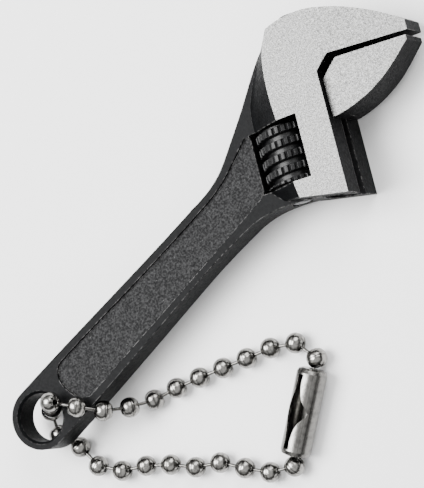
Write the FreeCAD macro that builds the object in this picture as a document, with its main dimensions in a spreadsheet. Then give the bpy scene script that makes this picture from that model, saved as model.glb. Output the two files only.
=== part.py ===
import FreeCAD, Part
import math
import os

# Small adjustable wrench on a bead-chain loop.
# Frame: millimetres, origin at the centre of the hang hole on the wrench's mid plane,
# +X along the handle towards the head, +Z out of the front face.

V = FreeCAD.Vector
Placement = FreeCAD.Placement
Rotation = FreeCAD.Rotation

SIZES = (
    ("tail_to_jaw", 53.2, "hang hole to the fixed jaw's inner corner, along the handle"),
    ("jaw_offset", 3.6, "inner corner's distance to the side of the handle's centre line"),
    ("jaw_turn", 29.2, "degrees between the clamping faces and the handle"),
    ("tail_radius", 3.75, "round end of the handle"),
    ("hang_hole_radius", 2.8, "hole the chain goes through"),
    ("handle_half_width", 3.15, "half of the handle's width near the neck"),
    ("handle_half_thickness", 1.85, "half of the handle's thickness"),
    ("panel_rim", 0.85, "raised rim left round the handle's recessed panel"),
    ("panel_depth", 0.35, "depth of the recessed panel"),
    ("head_half_thickness", 4.3, "half of the head's thickness"),
    ("root_half_thickness", 1.2, "where the head's slopes start, inside the handle plate"),
    ("jaw_length", 10.6, "fixed jaw's clamping length"),
    ("crown_height", 5.5, "head above the clamping face"),
    ("jaw_tip_half_thickness", 2.2, "half thickness of the jaw at its tip"),
    ("slide_length", 15.35, "slide face from the clamping face to the head's lower end"),
    ("corner_relief", 1.6, "slope in the fixed jaw's inner corner"),
    ("window_near", 3.7, "worm window's near side, from the slide face"),
    ("window_far", 10.75, "worm window's far side, from the slide face"),
    ("window_top", 5.25, "worm window's upper side, from the clamping face"),
    ("window_low", 12.45, "worm window's lower side, from the clamping face"),
    ("rod_depth", 2.55, "rack rod's axis, from the slide face"),
    ("rod_radius", 1.75, "rack rod"),
    ("rod_rise", 6.1, "rack rod's upper end, above the clamping face"),
    ("rod_drop", 11.2, "rack rod's lower end, below the clamping face"),
    ("running_gap", 0.05, "radial clearance of the running fits"),
    ("web_thickness", 1.5, "web between the movable jaw and its rack rod"),
    ("jaw_gap", 0.55, "opening between the jaws as drawn"),
    ("slide_gap", 0.1, "movable jaw to slide face"),
    ("heel_drop", 6.85, "movable jaw's heel, below the clamping face"),
    ("moving_half_thickness", 3.3, "half of the movable jaw's thickness"),
    ("moving_tip_half_thickness", 2.4, "half of the movable jaw's thickness at its tip"),
    ("worm_depth", 7.2, "worm's axis, from the slide face"),
    ("worm_radius", 3.3, "worm over its ridges"),
    ("worm_root_radius", 2.55, "worm between its ridges"),
    ("worm_length", 6.6, "worm"),
    ("worm_pitch", 1.5, "worm and rack pitch"),
    ("ridge_crest_half", 0.36, "half width of a ridge at its crest"),
    ("ridge_root_half", 0.5, "half width of a ridge at its root"),
    ("mesh_gap", 0.14, "clearance on each flank of the rack teeth"),
    ("knurl_depth", 0.25, "knurl notches in the ridges"),
    ("pin_radius", 0.8, "worm pin"),
    ("pin_head_radius", 1.15, "screw head of the worm pin"),
    ("pin_head_length", 0.9, "screw head of the worm pin"),
    ("pin_top", 3.2, "blind end of the pin's hole, below the clamping face"),
    ("pin_head_seat", 13.4, "seat of the pin's head, below the clamping face"),
    ("spring_radius", 1.13, "worm spring's mean radius"),
    ("spring_wire_radius", 0.13, "worm spring's wire"),
    ("spring_pitch", 0.45, "worm spring"),
    ("spring_pocket_radius", 1.45, "pocket in the worm for the spring"),
    ("spring_pocket_depth", 1.5, "pocket in the worm for the spring"),
    ("bead_radius", 1.2, "chain bead"),
    ("bead_wall", 0.2, "chain bead's wall"),
    ("bead_spacing", 3.15, "from bead to bead"),
    ("bead_mouth_radius", 0.28, "holes in a bead"),
    ("wire_radius", 0.18, "wire link between two beads"),
    ("wire_knob_radius", 0.36, "ball on each end of a wire link"),
    ("wire_knob_depth", 0.6, "from a bead's centre to the knob in it"),
    ("clasp_radius", 1.75, "clasp sleeve"),
    ("clasp_wall", 0.25, "clasp sleeve's sheet"),
    ("clasp_overhang", 1.9, "clasp past each captured bead's centre"),
    ("clasp_mouth_radius", 0.5, "hole in each end of the clasp"),
    ("clasp_slot_width", 0.8, "slot along the clasp"),
    ("clasp_bite", 1.45, "slot's half width where it is widest, halfway along"),
)

doc = FreeCAD.newDocument("adjustable_wrench")
sheet = doc.addObject("Spreadsheet::Sheet", "sizes")
for number, (alias, value, note) in enumerate(SIZES, start=1):
    sheet.set("A%d" % number, alias)
    sheet.set("B%d" % number, str(value))
    sheet.set("C%d" % number, note)
    sheet.setAlias("B%d" % number, alias)
doc.recompute()


def size(alias):
    return float(sheet.get(alias))


TURN = math.radians(size("jaw_turn"))
CORNER = V(size("tail_to_jaw"), size("jaw_offset"), 0)
HEAD_PLACE = Placement(CORNER, Rotation(V(0, 0, 1), -size("jaw_turn")))
DOWN = Rotation(V(1, 0, 0), 90)
BIG = 30.0
finished = []


# ---- drawing helpers ----

def head_point(across, down):
    """Point in the head's frame: across from the slide face, down from the clamping face."""
    return V(across, -down, 0)


def handle_point(along, side):
    """Point given along and beside the handle's centre line, in the head's frame."""
    dx = along - CORNER.x
    dy = side - CORNER.y
    return V(dx * math.cos(TURN) - dy * math.sin(TURN), dx * math.sin(TURN) + dy * math.cos(TURN), 0)


def origin_plane(body, role):
    for feature in body.Origin.OriginFeatures:
        if feature.Role == role:
            return feature
    raise RuntimeError("no plane " + role)


def new_body(label):
    body = doc.addObject("PartDesign::Body", label)
    body.Label = label
    return body


def new_sketch(body, name, role, offset=0.0, expression=None):
    sketch = body.newObject("Sketcher::SketchObject", name)
    sketch.AttachmentSupport = [(origin_plane(body, role), "")]
    sketch.MapMode = "FlatFace"
    sketch.AttachmentOffset = Placement(V(0, 0, offset), Rotation())
    if expression:
        sketch.setExpression("AttachmentOffset.Base.z", expression)
    return sketch


def draw(sketch, runs):
    """Closed outline: each run is a list of points, a line if two, a smooth curve if more."""
    for run in runs:
        if len(run) == 2:
            sketch.addGeometry(Part.LineSegment(run[0], run[1]), False)
        else:
            curve = Part.BSplineCurve()
            curve.interpolate(run)
            sketch.addGeometry(curve, False)


def polygon(sketch, points):
    draw(sketch, [[points[i], points[(i + 1) % len(points)]] for i in range(len(points))])


def circle(sketch, centre, radius):
    sketch.addGeometry(Part.Circle(centre, V(0, 0, 1), radius), False)


def both_ways(feature):
    feature.SideType = "Symmetric"


def pad(body, sketch, name, expression, symmetric=True):
    feature = body.newObject("PartDesign::Pad", name)
    feature.Profile = sketch
    if symmetric:
        both_ways(feature)
    feature.setExpression("Length", expression)
    body.Tip = feature
    sketch.Visibility = False
    return feature


def pocket(body, sketch, name, expression=None, symmetric=True, flip=False):
    feature = body.newObject("PartDesign::Pocket", name)
    feature.Profile = sketch
    feature.Length = 4 * BIG
    if symmetric:
        both_ways(feature)
    if expression:
        feature.setExpression("Length", expression)
    feature.Reversed = flip
    body.Tip = feature
    sketch.Visibility = False
    return feature


def volume_change(body, step):
    """Recompute after a cut or an addition and report the volume, so a lost cut is seen."""
    doc.recompute()
    volume = body.Shape.Volume
    print("%-16s %-22s %10.3f" % (body.Label, step, volume))
    return volume


def turned_cut(body, sketch, name):
    feature = body.newObject("PartDesign::Groove", name)
    feature.Profile = sketch
    feature.ReferenceAxis = (sketch, ["V_Axis"])
    feature.Angle = 360
    body.Tip = feature
    sketch.Visibility = False
    return feature


def turned_solid(body, sketch, name):
    feature = body.newObject("PartDesign::Revolution", name)
    feature.Profile = sketch
    feature.ReferenceAxis = (sketch, ["V_Axis"])
    feature.Angle = 360
    body.Tip = feature
    sketch.Visibility = False
    return feature


def round_tool(body, kind, name, radius, height, place):
    feature = body.newObject("PartDesign::" + kind, name)
    feature.setExpression("Radius", radius)
    feature.setExpression("Height", height)
    feature.Placement = place
    body.Tip = feature
    return feature


# ---- wrench body: handle plate, head block, then the cuts ----

def crown_line():
    """Smooth outer line of the head, from the neck round to the fixed jaw's tip."""
    reach = size("jaw_length")
    crown = size("crown_height")
    line = [
        head_point(-21.6, 12.3),
        head_point(-19.6, 11.45),
        head_point(-17.5, 10.3),
        head_point(-15.7, 8.9),
        head_point(-13.35, 6.0),
        head_point(-11.1, 2.95),
        head_point(-9.0, -0.03 * crown),
        head_point(-6.95, -0.53 * crown),
        head_point(-5.3, -0.80 * crown),
        head_point(-3.6, -0.93 * crown),
        head_point(-1.8, -0.99 * crown),
        head_point(0.0, -1.0 * crown),
        head_point(0.2 * reach, -0.94 * crown),
        head_point(0.48 * reach, -0.77 * crown),
        head_point(0.72 * reach, -0.55 * crown),
        head_point(0.87 * reach, -0.38 * crown),
        head_point(1.0 * reach, -0.21 * crown),
    ]
    return line


def make_wrench_body():
    body = new_body("wrench_body")
    tail = size("tail_radius")
    half = size("handle_half_width")
    run = size("tail_to_jaw")
    low = size("slide_length")

    outline = new_sketch(body, "plate_outline", "XY_Plane")
    upper = [
        handle_point(0, tail),
        handle_point(0.19 * run, 0.72 * tail + 0.28 * half),
        handle_point(0.38 * run, 0.25 * tail + 0.75 * half),
        handle_point(0.565 * run, half),
    ]
    lower = [
        handle_point(0, -tail),
        handle_point(0.19 * run, -0.72 * tail - 0.28 * half),
        handle_point(0.38 * run, -0.25 * tail - 0.75 * half),
        handle_point(0.545 * run, -half),
        head_point(-14.8, 16.15),
        head_point(-12.3, 15.05),
        head_point(-10.4, 14.6),
        head_point(-8.0, 14.4),
        head_point(-5.7, 14.45),
    ]
    end_arc = Part.Arc(handle_point(0, tail), handle_point(-tail, 0), handle_point(0, -tail))
    outline.addGeometry(end_arc, False)
    corners = [
        head_point(-17.0, 8.6),
        head_point(-9.5, -2.2),
        head_point(-6.0, -8.0),
        head_point(14.0, -8.0),
        head_point(14.0, low + 2.4),
    ]
    draw(outline, [upper, lower])
    trail = [upper[-1]] + corners + [lower[-1]]
    draw(outline, [[trail[i], trail[i + 1]] for i in range(len(trail) - 1)])
    pad(body, outline, "plate", "2 * sizes.handle_half_thickness")
    volume_change(body, "plate")

    # recessed panel on both sides of the handle
    rim = size("panel_rim")
    inset = half - rim
    wide = tail - rim - 0.1
    for side in (1, -1):
        panel = new_sketch(body, "panel_outline_%s" % ("front" if side > 0 else "back"), "XY_Plane", 0.0,
                           "%d * sizes.handle_half_thickness" % side)
        ring_end = [
            handle_point(6.4, -wide + 0.1),
            handle_point(5.2, -1.75),
            handle_point(4.72, -0.3),
            handle_point(4.72, 1.2),
            handle_point(5.2, 2.15),
            handle_point(6.4, wide - 0.05),
        ]
        top_edge = [
            ring_end[-1],
            handle_point(0.25 * run, 0.6 * wide + 0.4 * inset),
            handle_point(0.42 * run, inset + 0.05),
            handle_point(0.565 * run, inset),
            handle_point(run - 18.0, inset + 0.35),
            handle_point(run - 15.6, inset + 1.0),
            handle_point(run - 12.7, inset + 1.9),
        ]
        low_edge = [
            handle_point(run - 16.0, -inset + 0.2),
            handle_point(0.55 * run, -inset),
            handle_point(0.3 * run, -0.5 * wide - 0.5 * inset),
            ring_end[0],
        ]
        far_end = [
            [top_edge[-1], handle_point(run - 10.0, 1.5)],
            [handle_point(run - 10.0, 1.5), low_edge[0]],
        ]
        draw(panel, [ring_end, top_edge] + far_end + [low_edge])
        pocket(body, panel, "panel_%s" % ("front" if side > 0 else "back"), "sizes.panel_depth", False, side < 0)
        volume_change(body, "panel")

    # head block: flat ground faces that slope down to the plate on the handle's side
    crest = [
        head_point(-4.0, -6.0),
        head_point(-4.95, -4.2),
        head_point(-5.7, -2.5),
        head_point(-6.1, -0.5),
        head_point(-6.25, 2.0),
        head_point(-6.1, 5.3),
        head_point(-5.95, 12.5),
    ]
    foot = [
        head_point(-5.6, -6.0),
        head_point(-7.2, -3.0),
        head_point(-8.6, -1.0),
        head_point(-9.8, 0.9),
        head_point(-10.7, 2.9),
        head_point(-10.95, 5.6),
        head_point(-10.9, 12.5),
    ]
    sections = []
    stations = (
        ("crest_front", crest, -5.7, "sizes.head_half_thickness"),
        ("foot_front", foot, -9.2, "sizes.root_half_thickness"),
        ("foot_back", foot, -9.2, "-1 * sizes.root_half_thickness"),
        ("crest_back", crest, -5.7, "-1 * sizes.head_half_thickness"),
    )
    slope = (low - 14.35) / 5.7
    for name, curve, knee, station in stations:
        section = new_sketch(body, name, "XY_Plane", 0.0, station)
        trail = [
            curve[-1],
            head_point(knee, low + slope * knee),
            head_point(2.0, low + slope * 2.0),
            head_point(14.0, low + slope * 2.0),
            head_point(14.0, -9.0),
            head_point(curve[0].x, -9.0),
            curve[0],
        ]
        draw(section, [curve] + [[trail[i], trail[i + 1]] for i in range(len(trail) - 1)])
        sections.append(section)
    block = body.newObject("PartDesign::AdditiveLoft", "head_block")
    block.Profile = sections[0]
    block.Sections = sections[1:]
    block.Ruled = True
    body.Tip = block
    volume_change(body, "head block")

    # everything outside the crown line goes
    trim = new_sketch(body, "crown_trim_outline", "XY_Plane")
    line = crown_line()
    reach = size("jaw_length")
    trail = [
        line[-1],
        head_point(reach, 4.0),
        head_point(BIG, 4.0),
        head_point(BIG, -BIG),
        head_point(-1.5 * BIG, -BIG),
        head_point(-1.5 * BIG, 0.0),
        line[0],
    ]
    draw(trim, [line] + [[trail[i], trail[i + 1]] for i in range(len(trail) - 1)])
    pocket(body, trim, "crown_trim")
    volume_change(body, "crown trim")

    # the jaw opening: clamping face, inner corner and slide face
    relief = size("corner_relief")
    opening = new_sketch(body, "jaw_opening_outline", "XY_Plane")
    polygon(opening, [
        head_point(0, relief),
        head_point(0, BIG),
        head_point(BIG, BIG),
        head_point(BIG, 0),
        head_point(relief, 0),
    ])
    pocket(body, opening, "jaw_opening")
    volume_change(body, "jaw opening")

    # the jaw gets thinner towards its tip, on both faces
    full = size("head_half_thickness")
    tip = size("jaw_tip_half_thickness")
    taper = new_sketch(body, "jaw_taper_outline", "XZ_Plane")
    fall = (full - tip) / (reach - 0.8)
    for side in (1, -1):
        polygon(taper, [
            V(0.8, side * full, 0),
            V(reach + 2, side * (tip - 2 * fall), 0),
            V(reach + 2, side * (full + 2), 0),
            V(0.8, side * (full + 2), 0),
        ])
    pocket(body, taper, "jaw_taper")
    volume_change(body, "jaw taper")

    # window for the worm
    window = new_sketch(body, "window_outline", "XY_Plane")
    polygon(window, [
        head_point(-size("window_near"), size("window_top")),
        head_point(-size("window_far"), size("window_top") + 0.3),
        head_point(-size("window_far"), size("window_low")),
        head_point(-size("window_near"), size("window_low")),
    ])
    pocket(body, window, "window")
    volume_change(body, "window")

    # bore of the rack rod and the slot of its web
    bore_place = Placement(V(-size("rod_depth"), 12.0, 0), DOWN)
    round_tool(body, "SubtractiveCylinder", "rack_bore", "sizes.rod_radius + sizes.running_gap",
               "sizes.slide_length + 16", bore_place)
    volume_change(body, "rack bore")
    slot = new_sketch(body, "web_slot_outline", "XZ_Plane", 1.2)
    wide_slot = size("web_thickness") / 2 + 0.06
    polygon(slot, [
        V(-size("rod_depth"), -wide_slot, 0),
        V(2.0, -wide_slot, 0),
        V(2.0, wide_slot, 0),
        V(-size("rod_depth"), wide_slot, 0),
    ])
    pocket(body, slot, "web_slot", None, False, True)
    volume_change(body, "web slot")

    # hole of the worm pin, with a seat for its head
    pin_place = Placement(head_point(-size("worm_depth"), size("pin_top")), DOWN)
    round_tool(body, "SubtractiveCylinder", "pin_hole", "sizes.pin_radius + sizes.running_gap",
               "sizes.slide_length + 2 - sizes.pin_top", pin_place)
    seat_place = Placement(head_point(-size("worm_depth"), size("pin_head_seat")), DOWN)
    round_tool(body, "SubtractiveCylinder", "pin_seat", "sizes.pin_head_radius + sizes.running_gap",
               "6 * sizes.pin_head_length", seat_place)
    volume_change(body, "pin hole")

    # hang hole, chamfered on both faces
    centre = handle_point(0, 0)
    hole_place = Placement(V(centre.x, centre.y, -10), Rotation())
    round_tool(body, "SubtractiveCylinder", "hang_hole", "sizes.hang_hole_radius",
               "2 * sizes.head_half_thickness + 12", hole_place)
    volume_change(body, "hang hole")
    for side in (1, -1):
        cone = body.newObject("PartDesign::SubtractiveCone", "hole_chamfer_%s" % ("front" if side > 0 else "back"))
        cone.setExpression("Radius1", "sizes.hang_hole_radius")
        cone.setExpression("Radius2", "sizes.hang_hole_radius + 0.3")
        cone.setExpression("Height", "0.3")
        start = size("handle_half_thickness") - 0.3
        spin = Rotation() if side > 0 else Rotation(V(1, 0, 0), 180)
        cone.Placement = Placement(V(centre.x, centre.y, side * start), spin)
        body.Tip = cone
        volume_change(body, "hole chamfer")
    body.Placement = HEAD_PLACE
    finished.append(body)
    return body


# ---- movable jaw: jaw block, web, rack rod with teeth ----

def make_movable_jaw():
    body = new_body("movable_jaw")
    gap = size("jaw_gap")
    near = size("slide_gap")
    heel = size("heel_drop")
    reach = size("jaw_length") - 0.25
    relief = size("corner_relief") + 0.35
    outline = new_sketch(body, "jaw_outline", "XY_Plane")
    back = [
        head_point(reach, gap + 0.5),
        head_point(0.87 * reach, 0.34 * heel),
        head_point(0.68 * reach, 0.585 * heel),
        head_point(0.46 * reach, 0.79 * heel),
        head_point(0.25 * reach, 0.92 * heel),
        head_point(0.8, heel - 0.08),
    ]
    trail = [
        back[-1],
        head_point(near, heel),
        head_point(near, gap + relief),
        head_point(near + relief, gap),
        head_point(reach, gap),
        back[0],
    ]
    draw(outline, [back] + [[trail[i], trail[i + 1]] for i in range(len(trail) - 1)])
    pad(body, outline, "jaw_block", "2 * sizes.moving_half_thickness")
    volume_change(body, "jaw block")

    full = size("moving_half_thickness")
    tip = size("moving_tip_half_thickness")
    fall = (full - tip) / (reach - 1.0)
    taper = new_sketch(body, "jaw_taper_outline", "XZ_Plane")
    for side in (1, -1):
        polygon(taper, [
            V(1.0, side * full, 0),
            V(reach + 2, side * (tip - 2 * fall), 0),
            V(reach + 2, side * (full + 2), 0),
            V(1.0, side * (full + 2), 0),
        ])
    pocket(body, taper, "jaw_taper")
    volume_change(body, "jaw taper")

    web = new_sketch(body, "web_outline", "XY_Plane")
    polygon(web, [
        head_point(-size("rod_depth"), gap + relief + 0.4),
        head_point(near + 1.0, gap + relief + 0.4),
        head_point(near + 1.0, heel - 0.1),
        head_point(-size("rod_depth"), heel - 0.1),
    ])
    pad(body, web, "web", "sizes.web_thickness")
    volume_change(body, "web")

    rod_place = Placement(V(-size("rod_depth"), size("rod_rise"), 0), DOWN)
    round_tool(body, "AdditiveCylinder", "rack_rod", "sizes.rod_radius", "sizes.rod_rise + sizes.rod_drop", rod_place)
    volume_change(body, "rack rod")

    # rack teeth: one groove for each worm ridge, at the worm's pitch
    pitch = size("worm_pitch")
    middle = (size("window_top") + size("window_low")) / 2
    crest_line = -size("worm_depth") + size("worm_radius")
    flank = (size("ridge_root_half") - size("ridge_crest_half")) / (size("worm_radius") - size("worm_root_radius"))
    floor_line = crest_line + 0.18
    mouth_line = -size("rod_depth") - size("rod_radius") - 0.3
    floor_half = size("ridge_crest_half") + size("mesh_gap") - 0.18 * flank
    mouth_half = size("ridge_crest_half") + size("mesh_gap") + (crest_line - mouth_line) * flank
    first = math.ceil((-size("rod_rise") + 1.0 - middle) / pitch)
    last = math.floor((size("rod_drop") - 0.8 - middle) / pitch)
    teeth = new_sketch(body, "rack_grooves_outline", "XY_Plane")
    for step in range(first, last + 1):
        at = middle + step * pitch
        polygon(teeth, [
            head_point(mouth_line, at - mouth_half),
            head_point(floor_line, at - floor_half),
            head_point(floor_line, at + floor_half),
            head_point(mouth_line, at + mouth_half),
        ])
    pocket(body, teeth, "rack_grooves", "4 * sizes.rod_radius")
    volume_change(body, "rack grooves")
    body.Placement = HEAD_PLACE
    finished.append(body)
    return body


# ---- worm, its pin and its spring: drawn about their own axis, then laid down the head ----

def worm_place(down):
    return HEAD_PLACE.multiply(Placement(head_point(-size("worm_depth"), down), DOWN))


def make_worm():
    body = new_body("worm")
    length = size("worm_length")
    root = size("worm_root_radius")
    crest = size("worm_radius")
    pitch = size("worm_pitch")
    core = new_sketch(body, "core_outline", "XZ_Plane")
    polygon(core, [V(0, -length / 2, 0), V(root, -length / 2, 0), V(root, length / 2, 0), V(0, length / 2, 0)])
    turned_solid(body, core, "core")
    volume_change(body, "core")

    turns = math.ceil(length / pitch / 2)
    start = -turns * pitch
    ridge = new_sketch(body, "ridge_outline", "XZ_Plane")
    top = size("ridge_crest_half")
    base = size("ridge_root_half") + 0.04
    polygon(ridge, [
        V(root - 0.2, start - base, 0),
        V(crest, start - top, 0),
        V(crest, start + top, 0),
        V(root - 0.2, start + base, 0),
    ])
    helix = body.newObject("PartDesign::AdditiveHelix", "ridge")
    helix.Profile = ridge
    helix.ReferenceAxis = (ridge, ["V_Axis"])
    helix.Mode = "pitch-height-angle"
    helix.setExpression("Pitch", "sizes.worm_pitch")
    helix.Height = 2 * turns * pitch
    helix.Angle = 0
    helix.LeftHanded = False
    helix.Reversed = False
    body.Tip = helix
    volume_change(body, "ridge")

    # square off both ends, bore it for the pin and pocket it for the spring
    bore = size("pin_radius") + size("running_gap")
    pocket_radius = size("spring_pocket_radius")
    floor = length / 2 - size("spring_pocket_depth")
    ends = new_sketch(body, "ends_outline", "XZ_Plane")
    polygon(ends, [
        V(0, -3 * pitch - length / 2, 0),
        V(2 * crest, -3 * pitch - length / 2, 0),
        V(2 * crest, -length / 2, 0),
        V(bore, -length / 2, 0),
        V(bore, floor, 0),
        V(pocket_radius, floor, 0),
        V(pocket_radius, length / 2, 0),
        V(2 * crest, length / 2, 0),
        V(2 * crest, 3 * pitch + length / 2, 0),
        V(0, 3 * pitch + length / 2, 0),
    ])
    turned_cut(body, ends, "ends")
    volume_change(body, "ends and bore")

    # straight knurl: notches across the ridges
    notches = 26
    knurl = new_sketch(body, "knurl_outline", "XY_Plane")
    for index in range(notches):
        angle = 2 * math.pi * (index + 0.5) / notches
        half = 0.33 * 2 * math.pi / notches
        inner = crest - size("knurl_depth")
        polygon(knurl, [
            V(inner * math.cos(angle), inner * math.sin(angle), 0),
            V((crest + 0.1) * math.cos(angle - half), (crest + 0.1) * math.sin(angle - half), 0),
            V((crest + 0.1) * math.cos(angle + half), (crest + 0.1) * math.sin(angle + half), 0),
        ])
    pocket(body, knurl, "knurl")
    volume_change(body, "knurl")
    body.Placement = worm_place((size("window_top") + size("window_low")) / 2)
    finished.append(body)
    return body


def make_worm_pin():
    body = new_body("worm_pin")
    radius = size("pin_radius")
    head = size("pin_head_radius")
    seat = size("pin_head_seat") - size("pin_top")
    end = seat + size("pin_head_length")
    outline = new_sketch(body, "pin_outline", "XZ_Plane")
    polygon(outline, [
        V(0, 0.1, 0),
        V(radius - 0.15, 0.1, 0),
        V(radius, 0.25, 0),
        V(radius, seat, 0),
        V(head, seat, 0),
        V(head, end - 0.1, 0),
        V(head - 0.1, end, 0),
        V(0, end, 0),
    ])
    turned_solid(body, outline, "pin")
    volume_change(body, "pin")
    slot = new_sketch(body, "driver_slot_outline", "XY_Plane", end)
    polygon(slot, [V(-2 * head, -0.2, 0), V(2 * head, -0.2, 0), V(2 * head, 0.2, 0), V(-2 * head, 0.2, 0)])
    pocket(body, slot, "driver_slot", "0.45 * sizes.pin_head_length", False)
    volume_change(body, "driver slot")
    body.Placement = worm_place(size("pin_top"))
    finished.append(body)
    return body


def make_worm_spring():
    body = new_body("worm_spring")
    wire = size("spring_wire_radius")
    middle = (size("window_top") + size("window_low")) / 2
    floor = middle + size("worm_length") / 2 - size("spring_pocket_depth")
    height = size("window_low") - floor - 2 * wire - 0.02
    coil = new_sketch(body, "wire_outline", "XZ_Plane")
    circle(coil, V(size("spring_radius"), wire + 0.01, 0), wire)
    helix = body.newObject("PartDesign::AdditiveHelix", "coil")
    helix.Profile = coil
    helix.ReferenceAxis = (coil, ["V_Axis"])
    helix.Mode = "pitch-height-angle"
    helix.setExpression("Pitch", "sizes.spring_pitch")
    helix.Height = height
    helix.Angle = 0
    body.Tip = helix
    volume_change(body, "coil")
    body.Placement = worm_place(floor)
    finished.append(body)
    return body


# ---- chain: headings and rises, in degrees, from the bead in the hang hole outwards ----

MIDDLE_BEAD = V(1.55, 0.05, 0.95)
FRONT_STRAND = (
    (-15, 63), (-54, -12), (-56, -37), (-36, -42), (-23, -44), (-19, 0), (-22, 0),
    (-24, 0), (-24, 0), (-23, 0), (-34, 0), (-77, 3), (-147, 9),
)
BACK_STRAND = (
    (153, -58), (-128, -26), (-71, 0), (-87, 0), (-54, 0), (-33, 0), (-41, 0),
    (-49, 0), (-34, 0), (-55, 0), (-52, 0), (-31, 4), (33, 8),
)


def walk(strand):
    spots = [MIDDLE_BEAD]
    for heading, rise in strand:
        flat = math.cos(math.radians(rise))
        step = V(math.cos(math.radians(heading)) * flat, math.sin(math.radians(heading)) * flat,
                 math.sin(math.radians(rise)))
        spots.append(spots[-1] + step * size("bead_spacing"))
    return spots


def chain_spots():
    """Bead centres from one end of the chain to the other."""
    return list(reversed(walk(FRONT_STRAND))) + walk(BACK_STRAND)[1:]


def solid(kind, name, numbers, place=None):
    item = doc.addObject("Part::" + kind, name)
    for key, expression in numbers.items():
        item.setExpression(key, expression)
    if place:
        item.Placement = place
    return item


def make_bead(number, spot, directions):
    label = "chain_bead_%02d" % number
    ball = solid("Sphere", label + "_ball", {"Radius": "sizes.bead_radius"})
    tools = [solid("Sphere", label + "_hollow", {"Radius": "sizes.bead_radius - sizes.bead_wall"})]
    for index, direction in enumerate(directions):
        aim = Rotation(V(0, 0, 1), direction)
        tools.append(solid("Cylinder", "%s_mouth_%d" % (label, index + 1),
                           {"Radius": "sizes.bead_mouth_radius", "Height": "2 * sizes.bead_radius"},
                           Placement(V(0, 0, 0), aim)))
    cutter = doc.addObject("Part::MultiFuse", label + "_cutter")
    cutter.Shapes = tools
    bead = doc.addObject("Part::Cut", label)
    bead.Label = label
    bead.Base = ball
    bead.Tool = cutter
    bead.Placement = Placement(spot, Rotation())
    finished.append(bead)


def make_link(number, start, end):
    label = "chain_link_%02d" % number
    span = end - start
    depth = size("wire_knob_depth")
    length = span.Length - 2 * depth
    wire = solid("Cylinder", label + "_wire", {"Radius": "sizes.wire_radius"}, Placement(V(0, 0, depth), Rotation()))
    wire.Height = length
    near = solid("Sphere", label + "_knob_1", {"Radius": "sizes.wire_knob_radius"},
                 Placement(V(0, 0, depth), Rotation()))
    far = solid("Sphere", label + "_knob_2", {"Radius": "sizes.wire_knob_radius"},
                Placement(V(0, 0, depth + length), Rotation()))
    link = doc.addObject("Part::MultiFuse", label)
    link.Label = label
    link.Shapes = [wire, near, far]
    link.Placement = Placement(start, Rotation(V(0, 0, 1), span))
    finished.append(link)


SLOT_FACES = V(-0.21, 0.33, 0.92)


def make_clasp(start, end):
    """Sleeve of bent sheet round the chain's two end beads, open along a wavy slot."""
    body = new_body("chain_clasp")
    span = end - start
    half = span.Length / 2 + size("clasp_overhang")
    outer = size("clasp_radius")
    wall = size("clasp_wall")
    mouth = size("clasp_mouth_radius")
    inner = outer - wall
    shell = new_sketch(body, "sleeve_outline", "XZ_Plane")
    outside = [(mouth, half), (outer - 0.55, half), (outer - 0.16, half - 0.16), (outer, half - 0.55)]
    inside = [(inner, half - 0.62), (inner - 0.35, half - wall), (mouth, half - wall)]
    points = [V(r, z, 0) for r, z in outside]
    points += [V(r, -z, 0) for r, z in reversed(outside)]
    points += [V(r, -z, 0) for r, z in reversed(inside)]
    points += [V(r, z, 0) for r, z in inside]
    polygon(shell, points)
    turned_solid(body, shell, "sleeve")
    volume_change(body, "sleeve")

    slot = new_sketch(body, "slot_outline", "XZ_Plane")
    reach = half - 0.75
    narrow = size("clasp_slot_width") / 2
    bite = size("clasp_bite")
    shares = ((-1.0, 0.0), (-0.55, 0.05), (-0.3, 0.4), (0.0, 1.0), (0.3, 0.4), (0.55, 0.05), (1.0, 0.0))
    right = [V(narrow + share * (bite - narrow), part * reach, 0) for part, share in shares]
    left = [V(-narrow - 0.75 * share * (bite - narrow), part * reach, 0) for part, share in reversed(shares)]
    draw(slot, [right, [right[-1], left[0]], left, [left[-1], right[0]]])
    pocket(body, slot, "slot", "2 * sizes.clasp_radius", False)
    volume_change(body, "slot")
    axis = V(span)
    axis.normalize()
    faces = SLOT_FACES - axis * SLOT_FACES.dot(axis)
    lie = Rotation(V(), faces, axis, "ZYX")
    body.Placement = Placement(start + span * 0.5, lie)
    finished.append(body)


def make_chain():
    spots = chain_spots()
    for index, spot in enumerate(spots):
        directions = []
        if index > 0:
            directions.append(spots[index - 1] - spot)
        if index < len(spots) - 1:
            directions.append(spots[index + 1] - spot)
        make_bead(index + 1, spot, directions)
    for index in range(len(spots) - 1):
        make_link(index + 1, spots[index], spots[index + 1])
    make_clasp(spots[0], spots[-1])


make_wrench_body()
make_movable_jaw()
make_worm()
make_worm_pin()
make_worm_spring()
make_chain()
doc.recompute()

for item in doc.Objects:
    if "Invalid" in item.State or "Error" in item.State:
        raise RuntimeError("%s did not rebuild: %s" % (item.Label, item.State))
for item in finished:
    shape = item.Shape
    if shape.isNull() or not shape.isValid():
        raise RuntimeError("%s has no valid shape" % item.Label)
    if len(shape.Solids) != 1:
        raise RuntimeError("%s has %d solids" % (item.Label, len(shape.Solids)))

os.makedirs("parts", exist_ok=True)
for item in finished:
    item.Shape.exportStep("parts/%s.step" % item.Label)
    box = item.Shape.BoundBox
    if not item.Label.startswith("chain_"):
        print("%-14s x %7.2f %7.2f  y %7.2f %7.2f  z %6.2f %6.2f" % (
            item.Label, box.XMin, box.XMax, box.YMin, box.YMax, box.ZMin, box.ZMax))
print("wrote %d parts" % len(finished))
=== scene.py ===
"""Looks of a small adjustable wrench on a bead-chain loop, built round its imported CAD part."""

import math

import bpy
from mathutils import Matrix, Vector


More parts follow.
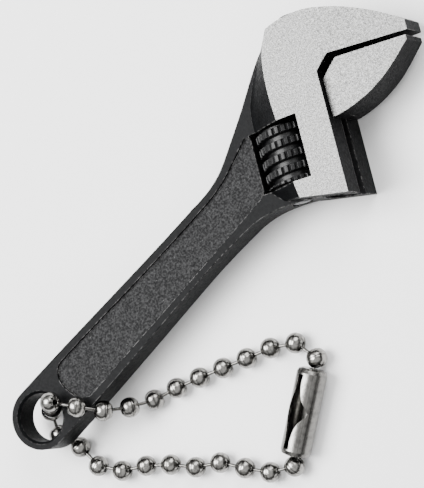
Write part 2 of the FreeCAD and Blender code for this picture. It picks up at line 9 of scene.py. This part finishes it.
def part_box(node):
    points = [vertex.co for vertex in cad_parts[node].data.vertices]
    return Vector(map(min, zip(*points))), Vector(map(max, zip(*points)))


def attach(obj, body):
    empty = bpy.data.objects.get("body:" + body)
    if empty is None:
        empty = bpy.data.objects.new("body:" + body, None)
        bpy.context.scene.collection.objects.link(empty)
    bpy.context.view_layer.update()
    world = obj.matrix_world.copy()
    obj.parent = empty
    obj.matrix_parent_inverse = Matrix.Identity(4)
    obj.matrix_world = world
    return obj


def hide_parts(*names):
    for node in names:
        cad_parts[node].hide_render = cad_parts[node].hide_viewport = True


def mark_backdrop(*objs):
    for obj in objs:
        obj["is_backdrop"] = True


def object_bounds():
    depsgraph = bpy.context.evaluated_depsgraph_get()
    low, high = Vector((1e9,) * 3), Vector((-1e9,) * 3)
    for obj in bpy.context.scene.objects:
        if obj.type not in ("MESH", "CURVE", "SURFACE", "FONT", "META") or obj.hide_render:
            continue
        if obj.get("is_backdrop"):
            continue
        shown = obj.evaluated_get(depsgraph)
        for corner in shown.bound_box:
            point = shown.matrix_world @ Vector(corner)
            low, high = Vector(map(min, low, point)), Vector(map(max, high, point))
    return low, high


bl_info = {
    "name": "Adjustable wrench builder",
    "version": (1, 0, 0),
    "blender": (4, 5, 0),
    "location": "3D View > Sidebar > Wrench",
    "description": "Finishes for a small adjustable wrench, its worm, its bead chain and clasp",
    "category": "Object",
}

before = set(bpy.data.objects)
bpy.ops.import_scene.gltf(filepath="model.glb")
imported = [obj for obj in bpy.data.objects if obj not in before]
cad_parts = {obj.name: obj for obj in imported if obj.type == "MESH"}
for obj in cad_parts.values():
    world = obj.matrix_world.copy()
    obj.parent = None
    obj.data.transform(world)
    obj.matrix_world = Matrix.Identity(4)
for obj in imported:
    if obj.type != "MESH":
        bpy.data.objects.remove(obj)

MM = 0.001
PANEL_HALF = 1.5        # the grainy panels' distance from the mid plane, in mm
GROUND_FROM = 2.0       # faces farther from the mid plane than this are ground bright, in mm
BEADS = 27
BEAD_PLEATS = 8
FLOOR_HALF = 1.6        # metres
FLOOR_GAP = 0.00002     # metres
CAMERA_PLACE = (0.11798, -0.09971, 0.2855)
CAMERA_RIGHT = (0.6420, -0.6399, -0.4223)
CAMERA_BACK = (0.2829, -0.3142, 0.9062)
CAMERA_LENS = 205.8
LIGHT_TARGET = (0.030, -0.004, 0)


# ---- settings ----

class WrenchSettings(bpy.types.PropertyGroup):
    edge_radius: bpy.props.FloatProperty(
        name="Edge radius", description="Rounding of the forged edges, in metres",
        default=0.00016, unit="LENGTH")
    ground_edge_radius: bpy.props.FloatProperty(
        name="Ground edge radius", description="Rounding of the ground jaws' edges, in metres",
        default=0.00009, unit="LENGTH")
    wear: bpy.props.FloatProperty(
        name="Wear", description="How far the black finish has rubbed off the edges",
        default=0.8, min=0, max=1, subtype="FACTOR")
    grain: bpy.props.FloatProperty(
        name="Grain", description="Depth of the cast grain in the handle's panel",
        default=0.55, min=0, max=1, subtype="FACTOR")
    black_shine: bpy.props.FloatProperty(
        name="Black shine", description="How much the black finish reflects",
        default=0.03, min=0, max=1, subtype="FACTOR")
    black: bpy.props.FloatVectorProperty(
        name="Black finish", description="Colour of the blackened steel",
        default=(0.0016, 0.0017, 0.0019), size=3, subtype="COLOR")
    steel: bpy.props.FloatVectorProperty(
        name="Ground steel", description="Colour of the blasted and ground steel",
        default=(0.205, 0.205, 0.202), size=3, subtype="COLOR")


class ChainSettings(bpy.types.PropertyGroup):
    bead_radius: bpy.props.FloatProperty(
        name="Bead radius", description="Radius of a chain bead, in metres",
        default=0.0012, unit="LENGTH")
    wire_radius: bpy.props.FloatProperty(
        name="Wire radius", description="Radius of the wire between two beads, in metres",
        default=0.0002, unit="LENGTH")
    mouth_radius: bpy.props.FloatProperty(
        name="Mouth radius", description="Radius of the hole where a wire enters a bead, in metres",
        default=0.0004, unit="LENGTH")
    nickel: bpy.props.FloatVectorProperty(
        name="Nickel", description="Colour of the nickel plate",
        default=(0.25, 0.244, 0.232), size=3, subtype="COLOR")


class StageSettings(bpy.types.PropertyGroup):
    floor_colour: bpy.props.FloatVectorProperty(
        name="Floor colour", description="Colour of the pale floor",
        default=(0.93, 0.93, 0.93), size=3, subtype="COLOR")
    key_power: bpy.props.FloatProperty(
        name="Key light", description="Strength of the main soft light, in watts",
        default=6.0, min=0)
    fill_power: bpy.props.FloatProperty(
        name="Fill light", description="Strength of the fill light, in watts",
        default=1.6, min=0)
    world_strength: bpy.props.FloatProperty(
        name="Surround", description="Brightness of the studio's surround",
        default=1.45, min=0)


# ---- material kit: a thin wrapper that adds and joins shader nodes ----

class Shader:
    def __init__(self, name):
        self.material = bpy.data.materials.new(name)
        self.material.use_nodes = True
        self.tree = self.material.node_tree
        self.tree.nodes.clear()
        self.surface = self.tree.nodes.new("ShaderNodeBsdfPrincipled")
        output = self.tree.nodes.new("ShaderNodeOutputMaterial")
        self.tree.links.new(self.surface.outputs["BSDF"], output.inputs["Surface"])

    def put(self, socket, value):
        """Joins another node's output to a socket, or sets a fixed value on it."""
        if isinstance(value, bpy.types.NodeSocket):
            self.tree.links.new(value, socket)
        elif socket.type == "RGBA":
            socket.default_value = (*value[:3], 1)
        else:
            socket.default_value = value

    def place(self):
        """Position on the piece, in millimetres of the row frame."""
        coordinates = self.tree.nodes.new("ShaderNodeTexCoord")
        scaled = self.tree.nodes.new("ShaderNodeVectorMath")
        scaled.operation = "SCALE"
        scaled.inputs["Scale"].default_value = 1 / MM
        self.tree.links.new(coordinates.outputs["Object"], scaled.inputs[0])
        return scaled.outputs["Vector"]

    def attribute(self, name):
        node = self.tree.nodes.new("ShaderNodeAttribute")
        node.attribute_name = name
        return node.outputs["Vector"]

    def parts(self, vector):
        node = self.tree.nodes.new("ShaderNodeSeparateXYZ")
        self.put(node.inputs[0], vector)
        return node.outputs

    def true_normal(self):
        return self.tree.nodes.new("ShaderNodeNewGeometry").outputs["True Normal"]

    def vector(self, operation, first, second=None, output="Vector"):
        node = self.tree.nodes.new("ShaderNodeVectorMath")
        node.operation = operation
        self.put(node.inputs[0], first)
        if second is not None:
            self.put(node.inputs[1], second)
        return node.outputs[output]

    def number(self, operation, first, second=0.0, clamp=False):
        node = self.tree.nodes.new("ShaderNodeMath")
        node.operation = operation
        node.use_clamp = clamp
        self.put(node.inputs[0], first)
        self.put(node.inputs[1], second)
        return node.outputs[0]

    def step(self, value, low, high, to_low=0.0, to_high=1.0):
        """Smooth change from to_low to to_high while value goes from low to high."""
        node = self.tree.nodes.new("ShaderNodeMapRange")
        node.interpolation_type = "SMOOTHSTEP"
        self.put(node.inputs["Value"], value)
        for key, fixed in (("From Min", low), ("From Max", high), ("To Min", to_low), ("To Max", to_high)):
            self.put(node.inputs[key], fixed)
        return node.outputs["Result"]

    def noise(self, vector, scale, detail=3.0, roughness=0.55):
        node = self.tree.nodes.new("ShaderNodeTexNoise")
        self.put(node.inputs["Vector"], vector)
        self.put(node.inputs["Scale"], scale)
        self.put(node.inputs["Detail"], detail)
        self.put(node.inputs["Roughness"], roughness)
        return node.outputs["Fac"]

    def cells(self, vector, scale, randomness=1.0):
        node = self.tree.nodes.new("ShaderNodeTexVoronoi")
        self.put(node.inputs["Vector"], vector)
        self.put(node.inputs["Scale"], scale)
        self.put(node.inputs["Randomness"], randomness)
        return node.outputs["Distance"]

    def mix(self, factor, first, second):
        node = self.tree.nodes.new("ShaderNodeMix")
        node.data_type = "RGBA"
        self.put(node.inputs[0], factor)
        self.put(node.inputs[6], first)
        self.put(node.inputs[7], second)
        return node.outputs[2]

    def dot(self, vector, direction):
        """How far along a fixed direction, as a vector with that length on each axis."""
        value = self.vector("DOT_PRODUCT", vector, tuple(direction), "Value")
        return self.join(value, value, value)

    def join(self, x, y, z):
        node = self.tree.nodes.new("ShaderNodeCombineXYZ")
        for socket, value in zip(node.inputs, (x, y, z)):
            self.put(socket, value)
        return node.outputs[0]

    def blend(self, factor, first, second, kind="VECTOR"):
        """Mix of two vectors, or of two numbers with kind FLOAT."""
        node = self.tree.nodes.new("ShaderNodeMix")
        node.data_type = kind
        first_slot = {"VECTOR": 4, "FLOAT": 2}[kind]
        self.put(node.inputs[0], factor)
        self.put(node.inputs[first_slot], first)
        self.put(node.inputs[first_slot + 1], second)
        return node.outputs[1 if kind == "VECTOR" else 0]

    def rounded(self, radius):
        """Normal with the edges rounded by this radius, in metres."""
        node = self.tree.nodes.new("ShaderNodeBevel")
        node.samples = 6
        self.put(node.inputs["Radius"], radius)
        return node.outputs["Normal"]

    def bump(self, height, distance, strength=1.0, normal=None):
        """Relief of this height, in metres."""
        node = self.tree.nodes.new("ShaderNodeBump")
        self.put(node.inputs["Height"], height)
        self.put(node.inputs["Distance"], distance)
        self.put(node.inputs["Strength"], strength)
        if normal is not None:
            self.put(node.inputs["Normal"], normal)
        return node.outputs["Normal"]

    def edge(self, radius, low, high):
        """1 on edges rounded by this radius, 0 on flats."""
        agree = self.vector("DOT_PRODUCT", self.rounded(radius), self.true_normal(), "Value")
        return self.step(self.number("SUBTRACT", 1.0, agree), low, high)

    def finish(self, colour, metallic, roughness, normal=None, **extra):
        self.put(self.surface.inputs["Base Color"], colour)
        self.put(self.surface.inputs["Metallic"], metallic)
        self.put(self.surface.inputs["Roughness"], roughness)
        if normal is not None:
            self.put(self.surface.inputs["Normal"], normal)
        for key, value in extra.items():
            self.put(self.surface.inputs[key.replace("_", " ")], value)
        return self.material


def dress(node_name, material):
    """Gives a CAD node its material, on every face."""
    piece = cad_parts[node_name]
    piece.data.materials.clear()
    piece.data.materials.append(material)
    for face in piece.data.polygons:
        face.material_index = 0
    return piece


# ---- materials ----

def forged_material(name, settings, has_panel):
    """Blackened steel with bright ground faces, rubbed edges and, if asked, grainy panels."""
    s = Shader(name)
    place = s.place()
    flat = s.parts(s.true_normal())[2]
    facing = s.number("ABSOLUTE", flat)
    height = s.number("ABSOLUTE", s.parts(place)[2])

    wobble = s.noise(place, 0.9, 3.0)
    fine = s.noise(place, 2.6, 3.0, 0.6)
    grit = s.noise(place, 6.5, 3.0, 0.75)
    specks = s.cells(place, 1.1)

    high = s.step(height, GROUND_FROM, GROUND_FROM + 0.06)
    ground = s.number("MULTIPLY", s.step(facing, 0.90, 0.94), high)
    level_face = s.step(facing, 0.9, 0.95)
    panel = 0.0
    if has_panel:
        panel_low = s.step(height, PANEL_HALF - 0.12, PANEL_HALF - 0.06)
        panel_high = s.step(height, PANEL_HALF + 0.06, PANEL_HALF + 0.12, 1.0, 0.0)
        panel = s.number("MULTIPLY", s.number("MULTIPLY", panel_low, panel_high), level_face)

    rub = s.edge(settings.edge_radius * 1.5, 0.03, 0.22)
    patchy = s.step(s.number("ADD", fine, s.number("MULTIPLY", wobble, 0.6)), 0.70, 0.98)
    rub = s.number("MULTIPLY", s.number("MULTIPLY", rub, patchy), settings.wear)

    tone = [c * 2.2 for c in settings.black]
    black = s.mix(s.step(wobble, 0.3, 0.75), settings.black, tone)
    black = s.mix(s.step(grit, 0.58, 0.78, 0.0, 0.5), black, (0.010, 0.010, 0.0105))
    leather = s.noise(place, 4.2, 4.0, 0.7)
    grain_tone = s.mix(s.step(leather, 0.36, 0.68), (0.008, 0.0081, 0.0084), (0.044, 0.044, 0.045))
    level_black = s.number("MULTIPLY", level_face, s.step(fine, 0.3, 0.7, 0.35, 0.8))
    black = s.mix(level_black, black, (0.013, 0.0132, 0.0136))
    dots = s.step(s.cells(place, 1.6), 0.05, 0.10, 1.0, 0.0)
    glints = s.number("MULTIPLY", dots, s.step(fine, 0.5, 0.6))
    grain_tone = s.mix(s.number("MULTIPLY", glints, 0.8), grain_tone, (0.16, 0.16, 0.158))
    black = s.mix(s.number("MULTIPLY", panel, 0.9), black, grain_tone)
    black = s.mix(rub, black, (0.22, 0.217, 0.214))

    satin = s.mix(s.step(fine, 0.3, 0.72), [c * 0.86 for c in settings.steel], settings.steel)
    satin = s.mix(s.step(grit, 0.38, 0.56, 0.85, 0.0), satin, [c * 0.30 for c in settings.steel])
    satin = s.mix(s.step(grit, 0.56, 0.70, 0.0, 0.8), satin, [min(1.0, c * 1.7) for c in settings.steel])
    spots = s.number("MULTIPLY", s.step(specks, 0.06, 0.12, 1.0, 0.0), s.step(fine, 0.52, 0.60))
    satin = s.mix(s.number("MULTIPLY", spots, 0.85), satin, (0.03, 0.027, 0.025))

    colour = s.mix(ground, black, satin)
    rough_black = s.step(fine, 0.2, 0.8, 0.40, 0.58)
    rough_black = s.number("ADD", rough_black, s.number("MULTIPLY", panel, 0.1))
    rough_satin = s.step(fine, 0.2, 0.8, 0.40, 0.54)
    rough = s.blend(ground, rough_black, rough_satin, "FLOAT")

    relief = s.number("ADD", s.number("MULTIPLY", fine, 0.5), s.number("MULTIPLY", grit, 0.5))
    panel_relief = s.number("MULTIPLY", s.number("MULTIPLY", leather, panel), settings.grain * 3.0)
    relief = s.number("ADD", relief, panel_relief)
    level = s.join(0.0, 0.0, s.number("SIGN", flat))
    base = s.blend(s.number("MULTIPLY", ground, 0.85), s.rounded(settings.edge_radius), level)
    normal = s.bump(relief, 0.00005, 0.9, base)
    return s.finish(colour, ground, rough, normal, Specular_IOR_Level=settings.black_shine)


def worm_material():
    s = Shader("worm_black")
    place = s.place()
    fine = s.noise(place, 7.0, 4.0)
    grit = s.noise(place, 22.0, 3.0)
    rub = s.number("MULTIPLY", s.edge(0.00012, 0.05, 0.3), s.step(fine, 0.45, 0.7))
    base = s.mix(s.step(fine, 0.3, 0.7), (0.0012, 0.0012, 0.0014), (0.004, 0.004, 0.0045))
    colour = s.mix(s.number("MULTIPLY", rub, 0.3), base, (0.02, 0.02, 0.021))
    rough = s.step(grit, 0.3, 0.7, 0.24, 0.42)
    normal = s.bump(grit, 0.00002, 0.6, s.rounded(0.00007))
    return s.finish(colour, 0.0, rough, normal, Specular_IOR_Level=0.25)


def pin_material():
    s = Shader("pin_steel")
    place = s.place()
    fine = s.noise(place, 8.0, 4.0)
    colour = s.mix(s.step(fine, 0.3, 0.7), (0.14, 0.14, 0.15), (0.34, 0.34, 0.35))
    normal = s.bump(fine, 0.00002, 0.6, s.rounded(0.00006))
    return s.finish(colour, 1.0, s.step(fine, 0.3, 0.7, 0.3, 0.45), normal)


def bead_material(settings):
    """Bright nickel with a dark seam round each bead and rougher mouths; painted shade darkens the pleats
    and the mouths, and dark noise patches are painted reflection.
    """
    s = Shader("bead_nickel")
    x, y, z = s.parts(s.attribute("bead_place"))
    place = s.place()
    fine = s.noise(place, 2.4, 3.0)
    grit = s.noise(place, 6.0, 3.0)
    shade = s.number("ABSOLUTE", z)
    near_mouth = s.step(shade, 0.80, 0.99)
    heading = s.number("ARCTAN2", y, x)
    # Stripes round each mouth follow the pleats' creases, which are painted dark below as shade.
    painted_pleat_shade = s.number("COSINE", s.number("MULTIPLY", heading, float(BEAD_PLEATS)))
    painted_pleat_shade = s.number("MULTIPLY", s.step(painted_pleat_shade, -0.2, 0.7), s.step(shade, 0.55, 0.80))
    seam = s.step(shade, 0.03, 0.08, 1.0, 0.0)
    dark = [c * 0.72 for c in settings.nickel]
    # Noise patches painted near-black on the nickel: a painted dark reflection of the surroundings.
    painted_dark_reflection = s.noise(place, 1.7, 3.0, 0.6)
    colour = s.mix(s.step(fine, 0.35, 0.75, 0.0, 0.8), settings.nickel, dark)
    colour = s.mix(s.step(painted_dark_reflection, 0.46, 0.66, 0.0, 0.6), colour, (0.06, 0.058, 0.055))
    # Painted shade: the pleats' creases are darkened almost to black.
    colour = s.mix(s.number("MULTIPLY", painted_pleat_shade, 0.85), colour, (0.022, 0.0215, 0.02))
    colour = s.mix(s.number("MULTIPLY", seam, 0.6), colour, (0.04, 0.039, 0.037))
    # Painted shade: each bead's mouth, where the wire goes in, is darkened almost to black; the same mask
    # also makes it rougher.
    colour = s.mix(s.number("MULTIPLY", near_mouth, 0.9), colour, (0.018, 0.0175, 0.0165))
    rough = s.number("ADD", s.step(grit, 0.3, 0.7, 0.12, 0.24), s.number("MULTIPLY", near_mouth, 0.16))
    normal = s.bump(s.number("ADD", fine, s.number("MULTIPLY", grit, 0.3)), 0.00004, 0.8)
    return s.finish(colour, 1.0, rough, normal)


def clasp_material(settings):
    """Nickel sheet with fine drawn lines along the sleeve."""
    s = Shader("clasp_nickel")
    place = s.place()
    start, end = clasp_line()
    along = (end - start).normalized()
    stretched = s.vector("SUBTRACT", place, s.vector("MULTIPLY", s.dot(place, along), tuple(along)))
    lines = s.noise(stretched, 5.0, 4.0, 0.7)
    fine = s.noise(place, 1.8, 4.0)
    bright = [c * 0.72 for c in settings.nickel]
    dark = [c * 0.35 for c in settings.nickel]
    colour = s.mix(s.step(lines, 0.35, 0.72, 0.0, 0.7), bright, dark)
    colour = s.mix(s.step(fine, 0.45, 0.65, 0.0, 0.5), colour, (0.05, 0.049, 0.047))
    rough = s.step(lines, 0.3, 0.7, 0.16, 0.32)
    relief = s.number("ADD", s.number("MULTIPLY", lines, 0.6), s.number("MULTIPLY", fine, 0.5))
    normal = s.bump(relief, 0.00002, 0.6, s.rounded(0.00007))
    return s.finish(colour, 1.0, rough, normal, Anisotropic=0.35)


# ---- chain ----

def bead_centres():
    """Bead centres from one captured end to the other, read from the CAD nodes."""
    centres = []
    for number in range(1, BEADS + 1):
        low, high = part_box("chain_bead_%02d" % number)
        centres.append((low + high) / 2)
    return centres


def clasp_line():
    centres = bead_centres()
    return centres[0] / MM, centres[-1] / MM


def bead_mesh(settings):
    """One bead about the origin, its wire along Z: two pressed halves, a seam band and pleated mouths."""
    radius = settings.bead_radius
    mouth = settings.mouth_radius
    rings = 34
    around = 40
    mouth_angle = math.asin(mouth / radius)
    points = []
    for ring in range(rings + 1):
        angle = mouth_angle + (math.pi - 2 * mouth_angle) * ring / rings
        for turn in range(around):
            heading = 2 * math.pi * turn / around
            seam = math.exp(-((angle - math.pi / 2) / 0.05) ** 2)
            pole = min(angle, math.pi - angle)
            fold = 0.5 + 0.5 * math.cos(BEAD_PLEATS * heading)
            pleat = math.exp(-((pole - mouth_angle) / 0.30) ** 2) * fold
            dip = math.exp(-((pole - mouth_angle) / 0.16) ** 2)
            length = radius * (1.0 - 0.022 * seam - 0.07 * pleat - 0.08 * dip)
            points.append((length * math.sin(angle) * math.cos(heading),
                           length * math.sin(angle) * math.sin(heading),
                           length * math.cos(angle)))
    inward = len(points)
    for end in (0, rings):
        for turn in range(around):
            x, y, z = points[end * around + turn]
            points.append((x * 0.92, y * 0.92, z * 0.82))
    faces = []
    for ring in range(rings):
        for turn in range(around):
            after = (turn + 1) % around
            faces.append((ring * around + turn, (ring + 1) * around + turn,
                          (ring + 1) * around + after, ring * around + after))
    for turn in range(around):
        after = (turn + 1) % around
        faces.append((turn, after, inward + after, inward + turn))
        last = rings * around
        faces.append((last + after, last + turn, inward + around + turn, inward + around + after))
    mesh = bpy.data.meshes.new("bead_shape")
    mesh.from_pydata(points, [], faces)
    place = mesh.attributes.new("bead_place", "FLOAT_VECTOR", "POINT")
    for index, point in enumerate(points):
        place.data[index].vector = [c / radius for c in point]
    for face in mesh.polygons:
        face.use_smooth = True
    shape = bpy.data.objects.new("bead_shape", mesh)
    bpy.context.scene.collection.objects.link(shape)
    return shape


def route_object(centres):
    """The chain's route: one point per bead, each with the direction of its wire."""
    mesh = bpy.data.meshes.new("chain_route")
    edges = [(i, i + 1) for i in range(len(centres) - 1)]
    mesh.from_pydata([tuple(c) for c in centres], edges, [])
    aim = mesh.attributes.new("aim", "FLOAT_VECTOR", "POINT")
    for index in range(len(centres)):
        before = centres[max(index - 1, 0)]
        after = centres[min(index + 1, len(centres) - 1)]
        aim.data[index].vector = (after - before).normalized()
    route = bpy.data.objects.new("ball_chain", mesh)
    bpy.context.scene.collection.objects.link(route)
    return route


def chain_tree(shape, material):
    """Geometry nodes: a bead on each point of the route, a wire along it."""
    tree = bpy.data.node_groups.new("bead_chain", "GeometryNodeTree")
    tree.interface.new_socket("Geometry", in_out="INPUT", socket_type="NodeSocketGeometry")
    tree.interface.new_socket("Wire radius", in_out="INPUT", socket_type="NodeSocketFloat")
    tree.interface.new_socket("Geometry", in_out="OUTPUT", socket_type="NodeSocketGeometry")
    nodes = tree.nodes
    links = tree.links
    start = nodes.new("NodeGroupInput")
    end = nodes.new("NodeGroupOutput")
    aim = nodes.new("GeometryNodeInputNamedAttribute")
    aim.data_type = "FLOAT_VECTOR"
    aim.inputs["Name"].default_value = "aim"
    align = nodes.new("FunctionNodeAlignRotationToVector")
    align.axis = "Z"
    info = nodes.new("GeometryNodeObjectInfo")
    info.inputs["Object"].default_value = shape
    instances = nodes.new("GeometryNodeInstanceOnPoints")
    realize = nodes.new("GeometryNodeRealizeInstances")
    curve = nodes.new("GeometryNodeMeshToCurve")
    profile = nodes.new("GeometryNodeCurvePrimitiveCircle")
    profile.inputs["Resolution"].default_value = 16
    wire = nodes.new("GeometryNodeCurveToMesh")
    join = nodes.new("GeometryNodeJoinGeometry")
    paint = nodes.new("GeometryNodeSetMaterial")
    paint.inputs["Material"].default_value = material
    links.new(start.outputs["Geometry"], instances.inputs["Points"])
    links.new(info.outputs["Geometry"], instances.inputs["Instance"])
    links.new(aim.outputs["Attribute"], align.inputs["Vector"])
    links.new(align.outputs["Rotation"], instances.inputs["Rotation"])
    links.new(instances.outputs["Instances"], realize.inputs["Geometry"])
    links.new(start.outputs["Geometry"], curve.inputs["Mesh"])
    links.new(start.outputs["Wire radius"], profile.inputs["Radius"])
    links.new(curve.outputs["Curve"], wire.inputs["Curve"])
    links.new(profile.outputs["Curve"], wire.inputs["Profile Curve"])
    links.new(realize.outputs["Geometry"], join.inputs["Geometry"])
    links.new(wire.outputs["Mesh"], join.inputs["Geometry"])
    links.new(join.outputs["Geometry"], paint.inputs["Geometry"])
    links.new(paint.outputs["Geometry"], end.inputs["Geometry"])
    return tree


def grown(obj, tree, values):
    """Runs a node tree on an object and keeps the result as a plain mesh."""
    modifier = obj.modifiers.new("grow", "NODES")
    modifier.node_group = tree
    for item in tree.interface.items_tree:
        if item.item_type == "SOCKET" and item.in_out == "INPUT" and item.name in values:
            modifier[item.identifier] = values[item.name]
    bpy.context.view_layer.update()
    graph = bpy.context.evaluated_depsgraph_get()
    mesh = bpy.data.meshes.new_from_object(obj.evaluated_get(graph))
    obj.modifiers.remove(modifier)
    obj.data = mesh
    return obj


def build_chain(settings):
    centres = bead_centres()
    shape = bead_mesh(settings)
    material = bead_material(settings)
    route = route_object(centres)
    tree = chain_tree(shape, material)
    chain = grown(route, tree, {"Wire radius": settings.wire_radius})
    bpy.data.objects.remove(shape)
    for face in chain.data.polygons:
        face.use_smooth = True
    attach(chain, "chain")
    names = ["chain_bead_%02d" % number for number in range(1, BEADS + 1)]
    names += ["chain_link_%02d" % number for number in range(1, BEADS)]
    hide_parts(*names)
    return chain


# ---- stage ----

def area_light(name, place, target, power, width, height):
    data = bpy.data.lights.new(name, "AREA")
    data.shape = "RECTANGLE"
    data.size = width
    data.size_y = height
    data.energy = power
    lamp = bpy.data.objects.new(name, data)
    bpy.context.scene.collection.objects.link(lamp)
    lamp.location = place
    lamp.rotation_euler = (Vector(target) - Vector(place)).to_track_quat("-Z", "Y").to_euler()
    return lamp


def build_floor(settings):
    low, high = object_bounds()
    middle = (low + high) / 2
    level = low.z - FLOOR_GAP
    mesh = bpy.data.meshes.new("floor")
    outline = [(middle.x + i * FLOOR_HALF, middle.y + j * FLOOR_HALF, level)
               for i, j in ((-1, -1), (1, -1), (1, 1), (-1, 1))]
    mesh.from_pydata(outline, [], [(0, 1, 2, 3)])
    floor = bpy.data.objects.new("floor", mesh)
    bpy.context.scene.collection.objects.link(floor)
    s = Shader("floor_paper")
    place = s.place()
    fine = s.noise(place, 0.8, 3.0)
    shade = [c * 0.985 for c in settings.floor_colour]
    mesh.materials.append(s.finish(s.mix(fine, settings.floor_colour, shade), 0.0, 0.85))
    return floor


def build_world(settings):
    world = bpy.data.worlds.new("studio")
    bpy.context.scene.world = world
    world.use_nodes = True
    tree = world.node_tree
    tree.nodes.clear()
    coordinates = tree.nodes.new("ShaderNodeTexCoord")
    split = tree.nodes.new("ShaderNodeSeparateXYZ")
    ramp = tree.nodes.new("ShaderNodeValToRGB")
    background = tree.nodes.new("ShaderNodeBackground")
    output = tree.nodes.new("ShaderNodeOutputWorld")
    stops = ((0.0, 0.9), (0.12, 0.10), (0.42, 0.16), (0.60, 0.95), (1.0, 1.0))
    ramp.color_ramp.elements[0].position = stops[0][0]
    ramp.color_ramp.elements[0].color = (stops[0][1],) * 3 + (1,)
    ramp.color_ramp.elements[1].position = stops[-1][0]
    ramp.color_ramp.elements[1].color = (stops[-1][1],) * 3 + (1,)
    for position, value in stops[1:-1]:
        element = ramp.color_ramp.elements.new(position)
        element.color = (value, value, value, 1)
    background.inputs["Strength"].default_value = settings.world_strength
    tree.links.new(coordinates.outputs["Generated"], split.inputs[0])
    tree.links.new(split.outputs["Z"], ramp.inputs["Fac"])
    tree.links.new(ramp.outputs["Color"], background.inputs["Color"])
    tree.links.new(background.outputs["Background"], output.inputs["Surface"])


def build_camera():
    data = bpy.data.cameras.new("camera")
    data.sensor_width = 36
    data.lens = CAMERA_LENS
    data.clip_start = 0.01
    data.clip_end = 10
    camera = bpy.data.objects.new("camera", data)
    bpy.context.scene.collection.objects.link(camera)
    right = Vector(CAMERA_RIGHT).normalized()
    back = Vector(CAMERA_BACK).normalized()
    up = back.cross(right).normalized()
    right = up.cross(back)
    turn = Matrix((right, up, back)).transposed().to_4x4()
    camera.matrix_world = Matrix.Translation(CAMERA_PLACE) @ turn
    bpy.context.scene.camera = camera
    return camera


# ---- operators ----

class WRENCH_OT_body(bpy.types.Operator):
    """Finishes the forged body: black with bright ground faces"""
    bl_idname = "wrench.body"
    bl_label = "Finish body"

    def execute(self, context):
        settings = context.scene.wrench_settings
        dress("wrench_body", forged_material("body_black", settings, True))
        return {"FINISHED"}


class WRENCH_OT_jaw(bpy.types.Operator):
    """Finishes the movable jaw and its rack"""
    bl_idname = "wrench.jaw"
    bl_label = "Finish movable jaw"

    def execute(self, context):
        settings = context.scene.wrench_settings
        dress("movable_jaw", forged_material("jaw_steel", settings, False))
        return {"FINISHED"}


class WRENCH_OT_worm(bpy.types.Operator):
    """Finishes the thumb worm, its pin and its spring"""
    bl_idname = "wrench.worm"
    bl_label = "Finish worm"

    def execute(self, context):
        dress("worm", worm_material())
        steel = pin_material()
        dress("worm_pin", steel)
        dress("worm_spring", steel)
        return {"FINISHED"}


class WRENCH_OT_chain(bpy.types.Operator):
    """Builds the bead chain along its route"""
    bl_idname = "wrench.chain"
    bl_label = "Build chain"

    def execute(self, context):
        build_chain(context.scene.chain_settings)
        return {"FINISHED"}


class WRENCH_OT_clasp(bpy.types.Operator):
    """Finishes the chain's clasp"""
    bl_idname = "wrench.clasp"
    bl_label = "Finish clasp"

    def execute(self, context):
        dress("chain_clasp", clasp_material(context.scene.chain_settings))
        return {"FINISHED"}


class WRENCH_OT_stage(bpy.types.Operator):
    """Sets the pale floor, the soft lights and the camera"""
    bl_idname = "wrench.stage"
    bl_label = "Set stage"

    def execute(self, context):
        settings = context.scene.stage_settings
        floor = build_floor(settings)
        key = area_light("key", (-0.10, 0.16, 0.42), LIGHT_TARGET, settings.key_power, 0.30, 0.30)
        fill = area_light("fill", (0.34, 0.10, 0.26), LIGHT_TARGET, settings.fill_power, 0.22, 0.30)
        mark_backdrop(floor, key, fill)
        build_world(settings)
        build_camera()
        return {"FINISHED"}


class WRENCH_PT_panel(bpy.types.Panel):
    """Buttons that build the wrench"""
    bl_idname = "WRENCH_PT_panel"
    bl_label = "Wrench"
    bl_space_type = "VIEW_3D"
    bl_region_type = "UI"
    bl_category = "Wrench"

    def draw(self, context):
        for name in STEPS:
            self.layout.operator("wrench." + name)
        for group in ("wrench_settings", "chain_settings", "stage_settings"):
            box = self.layout.box()
            values = getattr(context.scene, group)
            for key in values.__annotations__:
                box.prop(values, key)


STEPS = ("body", "jaw", "worm", "chain", "clasp", "stage")
CLASSES = (
    WrenchSettings, ChainSettings, StageSettings,
    WRENCH_OT_body, WRENCH_OT_jaw, WRENCH_OT_worm, WRENCH_OT_chain, WRENCH_OT_clasp, WRENCH_OT_stage,
    WRENCH_PT_panel,
)


def register():
    for item in CLASSES:
        bpy.utils.register_class(item)
    bpy.types.Scene.wrench_settings = bpy.props.PointerProperty(type=WrenchSettings)
    bpy.types.Scene.chain_settings = bpy.props.PointerProperty(type=ChainSettings)
    bpy.types.Scene.stage_settings = bpy.props.PointerProperty(type=StageSettings)


def unregister():
    del bpy.types.Scene.stage_settings
    del bpy.types.Scene.chain_settings
    del bpy.types.Scene.wrench_settings
    for item in reversed(CLASSES):
        bpy.utils.unregister_class(item)


def main():
    register()
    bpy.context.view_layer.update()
    for name in STEPS:
        getattr(bpy.ops.wrench, name)()


if __name__ == "__main__":
    main()
